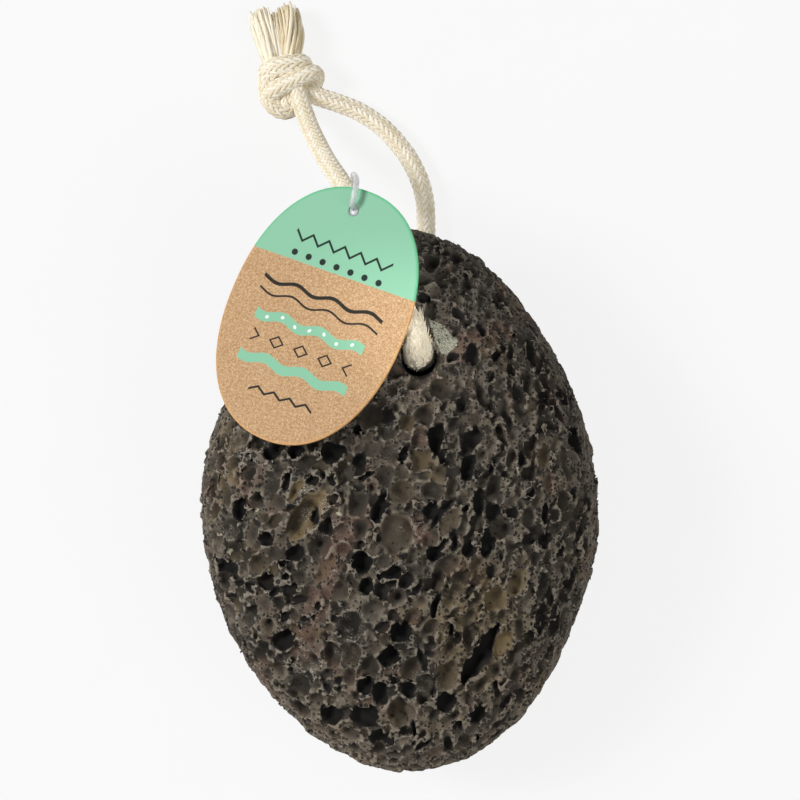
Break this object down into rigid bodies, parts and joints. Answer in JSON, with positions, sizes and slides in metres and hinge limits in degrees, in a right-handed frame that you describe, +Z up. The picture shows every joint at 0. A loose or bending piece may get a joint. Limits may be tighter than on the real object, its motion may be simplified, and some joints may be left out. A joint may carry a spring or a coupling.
{
  "type": "pumice stone on a cord",
  "caption": "Oval dark volcanic pumice stone for smoothing skin, drilled near one end for a knotted cotton hanging cord with an oval card tag on a plastic loop.",
  "frame": {"origin": "on the worn back of the stone, under the middle of the stone's box", "axes": "+Y along the stone to its drilled end, +Z up out of the worn back, +X to the right seen from above"},
  "size_m": [0.0748, 0.148, 0.0468],
  "materials": {
    "pumice": "rough, full of gas pits, dark grey brown",
    "cotton": "natural braided cotton, slightly fuzzy",
    "card": "uncoated brown card with a pale green printed cap",
    "clear_plastic": "clear, slightly grey"
  },
  "bodies": {
    "root": {"stone": "pumice", "cord": "cotton", "knot": "cotton", "card": "card", "plastic_loop": "clear_plastic"}
  },
  "joints": []
}
